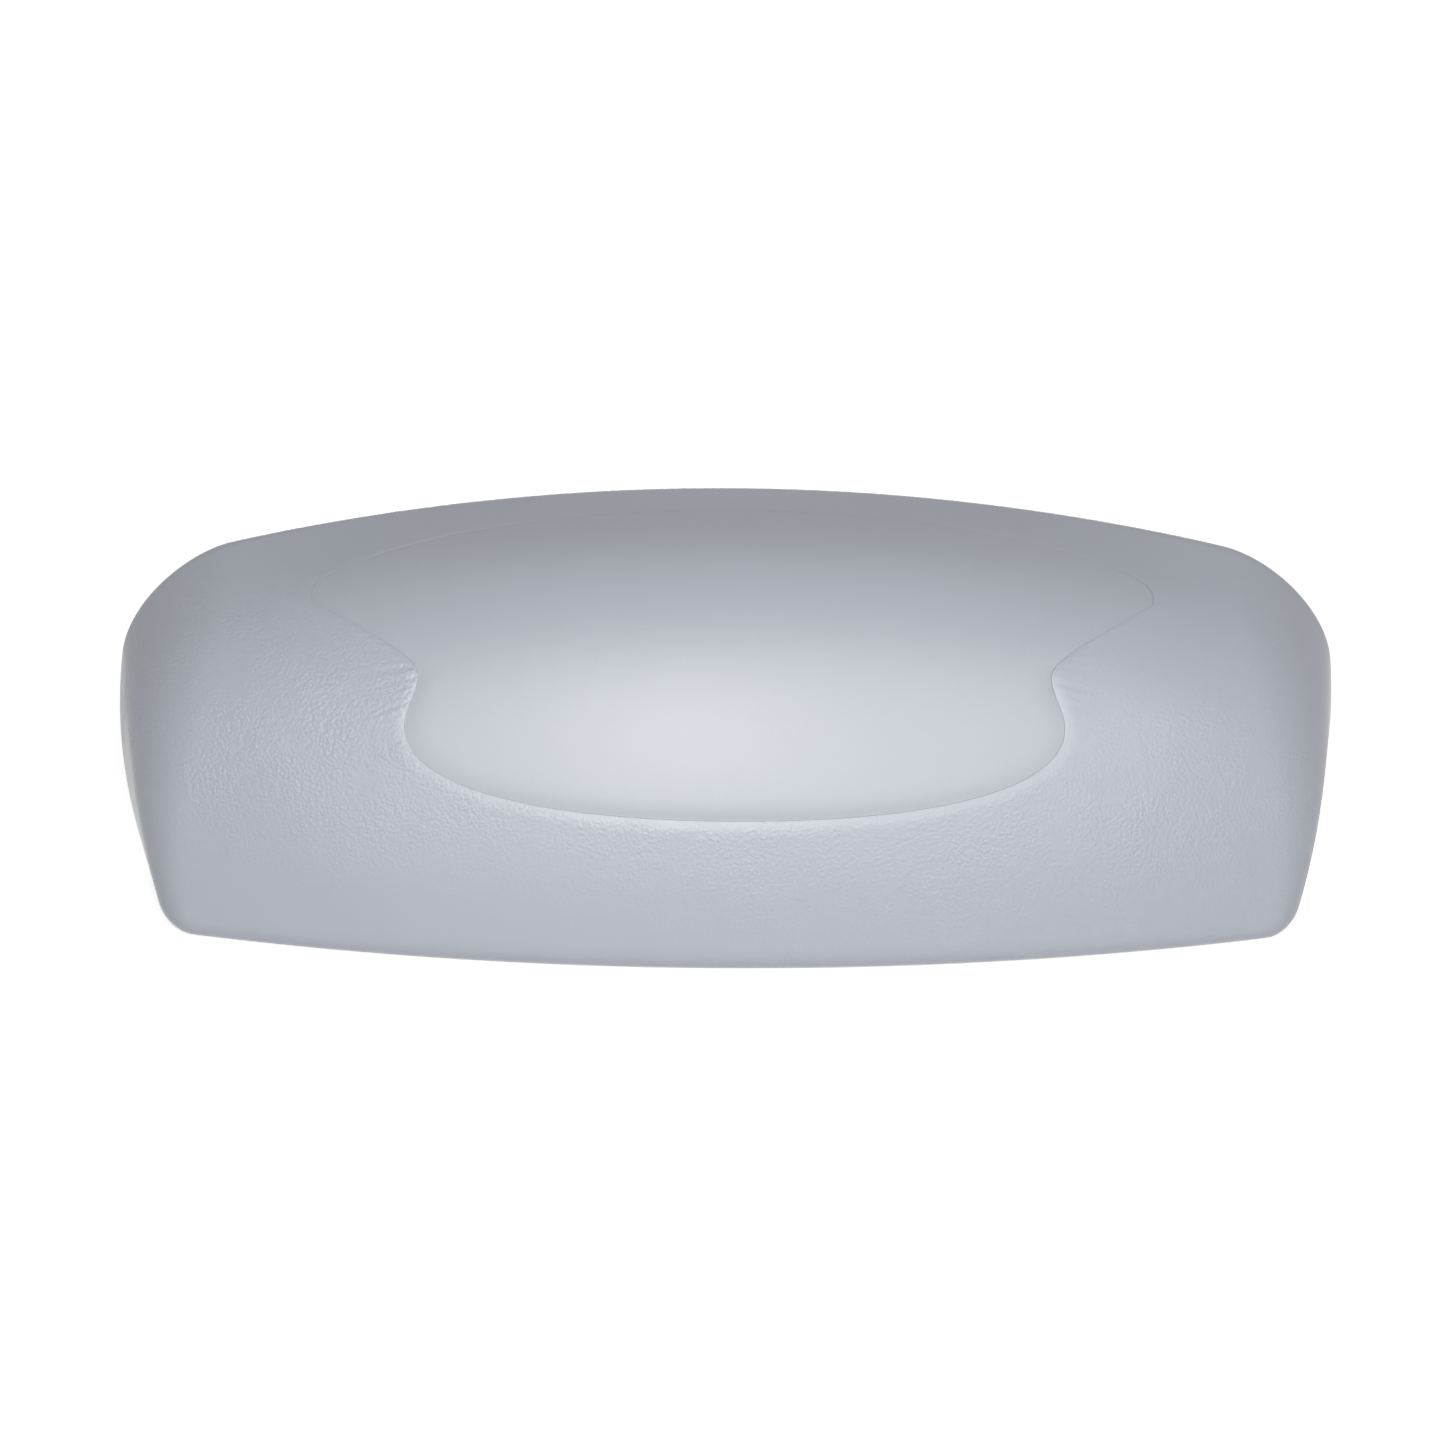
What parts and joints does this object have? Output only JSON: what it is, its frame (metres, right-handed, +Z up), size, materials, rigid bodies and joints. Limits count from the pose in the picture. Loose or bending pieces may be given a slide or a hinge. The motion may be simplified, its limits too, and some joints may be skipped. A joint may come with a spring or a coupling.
{
  "type": "hot tub headrest",
  "caption": "Grained vinyl spa pillow with a smooth recessed head panel, a rigid back plate and push-in pins that pull out of sockets in the tub wall.",
  "frame": {"origin": "on the tub wall's front face, midway between the two pins, where the back of the plate lies on the wall", "axes": "+X across the wall to the right as seen from the tub, +Y into the wall, +Z up"},
  "size_m": [0.3064, 0.0936, 0.1012],
  "materials": {
    "grained_vinyl": "satin vinyl with a fine leather grain",
    "smooth_vinyl": "smooth satin vinyl",
    "foam": "closed-cell foam",
    "black_plastic": "moulded, fine texture",
    "grey_plastic": "moulded, satin",
    "rubber": "matt",
    "steel": "plain stainless",
    "brass": "plain turned"
  },
  "bodies": {
    "wall_sockets": {"socket_cup_left": "grey_plastic", "socket_cup_right": "grey_plastic", "socket_gasket_left": "rubber", "socket_gasket_right": "rubber", "socket_locknut_left": "black_plastic", "socket_locknut_right": "black_plastic"},
    "headrest": {"vinyl_skin": "grained_vinyl", "head_panel": "smooth_vinyl", "foam_core": "foam", "back_plate": "black_plastic", "mount_pin_left": "grey_plastic", "mount_pin_right": "grey_plastic", "pin_o_ring_left": "rubber", "pin_o_ring_right": "rubber", "pin_screw_left": "steel", "pin_screw_right": "steel", "brass_insert_left": "brass", "brass_insert_right": "brass"}
  },
  "joints": [
    {"name": "headrest_pull", "type": "slide", "parent": "wall_sockets", "child": "headrest", "axis": [0, -1, 0], "range_m": [0, 0.035]}
  ]
}
